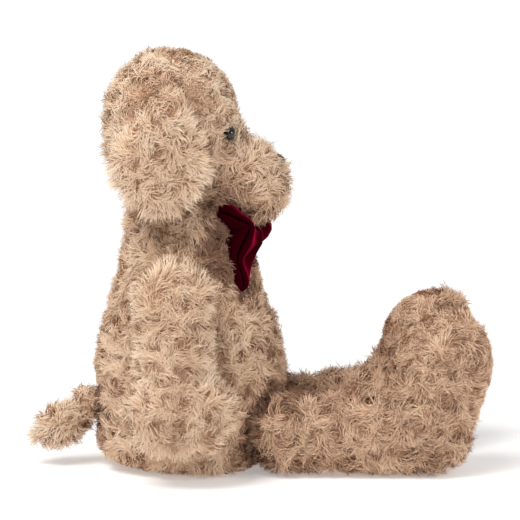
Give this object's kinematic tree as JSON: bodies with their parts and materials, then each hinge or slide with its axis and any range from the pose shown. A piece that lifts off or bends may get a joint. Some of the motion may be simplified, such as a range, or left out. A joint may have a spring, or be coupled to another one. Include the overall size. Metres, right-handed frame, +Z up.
{
  "type": "plush dog",
  "caption": "Sitting soft-toy dog with curly fur, flap ears, upright feet, safety eyes and a velvet bow; head, ears, arms, legs and tail move on sewn seams.",
  "frame": {"origin": "on the surface that the dog sits on, under the middle of its whole length and width", "axes": "+X the way the dog faces, along its outstretched legs, +Y its left side, +Z up"},
  "size_m": [0.4602, 0.309, 0.4214],
  "materials": {
    "fur": "long-pile beige fur fabric, swirled",
    "lining": "short-pile beige fabric",
    "fibre_fill": "white polyester fibre",
    "pellets": "cloth pouch of plastic pellets",
    "eye": "polished dark plastic",
    "washer": "plain moulded plastic",
    "nose": "dark satin-stitch thread",
    "velvet": "burgundy velvet with a soft sheen"
  },
  "bodies": {
    "torso": {"torso_cover": "fur", "torso_stuffing": "fibre_fill", "seat_bead_bag": "pellets"},
    "neck": {"neck_core": "fibre_fill", "bow_wing_right": "velvet", "bow_wing_left": "velvet", "bow_knot": "velvet"},
    "head": {"head_cover": "fur", "head_stuffing": "fibre_fill", "nose": "nose", "eye_right": "eye", "eye_left": "eye", "eye_washer_right": "washer", "eye_washer_left": "washer"},
    "tail": {"tail_cover": "fur", "tail_stuffing": "fibre_fill"},
    "ear_right": {"ear_outer_right": "fur", "ear_lining_right": "lining"},
    "arm_right": {"arm_cover_right": "fur", "arm_stuffing_right": "fibre_fill"},
    "leg_right": {"leg_cover_right": "fur", "leg_stuffing_right": "fibre_fill", "sole_right": "fur"},
    "ear_left": {"ear_outer_left": "fur", "ear_lining_left": "lining"},
    "arm_left": {"arm_cover_left": "fur", "arm_stuffing_left": "fibre_fill"},
    "leg_left": {"leg_cover_left": "fur", "leg_stuffing_left": "fibre_fill", "sole_left": "fur"}
  },
  "joints": [
    {"name": "neck_turn", "type": "hinge", "parent": "torso", "child": "neck", "pos_m": [-0.071, 0, 0.248], "axis": [0, 0, 1], "range_deg": [-30, 30]},
    {"name": "head_nod", "type": "hinge", "parent": "neck", "child": "head", "pos_m": [-0.071, 0, 0.248], "axis": [0, 1, 0], "range_deg": [-25, 3], "stiffness_Nm_per_rad": 1.5},
    {"name": "ear_right_flap", "type": "hinge", "parent": "head", "child": "ear_right", "pos_m": [-0.097, -0.068, 0.373], "axis": [-1, 0, 0], "range_deg": [0, 110]},
    {"name": "arm_right_swing", "type": "hinge", "parent": "torso", "child": "arm_right", "pos_m": [-0.093, -0.08313, 0.181], "axis": [0, -0.9836, 0.1805], "range_deg": [-40, 90]},
    {"name": "leg_right_lift", "type": "hinge", "parent": "torso", "child": "leg_right", "pos_m": [0.02, -0.057, 0.04], "axis": [0, -1, 0], "range_deg": [0, 35]},
    {"name": "ear_left_flap", "type": "hinge", "parent": "head", "child": "ear_left", "pos_m": [-0.097, 0.068, 0.373], "axis": [1, 0, 0], "range_deg": [0, 110]},
    {"name": "arm_left_swing", "type": "hinge", "parent": "torso", "child": "arm_left", "pos_m": [-0.093, 0.08313, 0.181], "axis": [0, -0.9836, -0.1805], "range_deg": [-40, 90]},
    {"name": "leg_left_lift", "type": "hinge", "parent": "torso", "child": "leg_left", "pos_m": [0.02, 0.057, 0.04], "axis": [0, -1, 0], "range_deg": [0, 35]},
    {"name": "tail_lift", "type": "hinge", "parent": "torso", "child": "tail", "pos_m": [-0.1665, 0, 0.058], "axis": [0, 1, 0], "range_deg": [0, 60]}
  ]
}
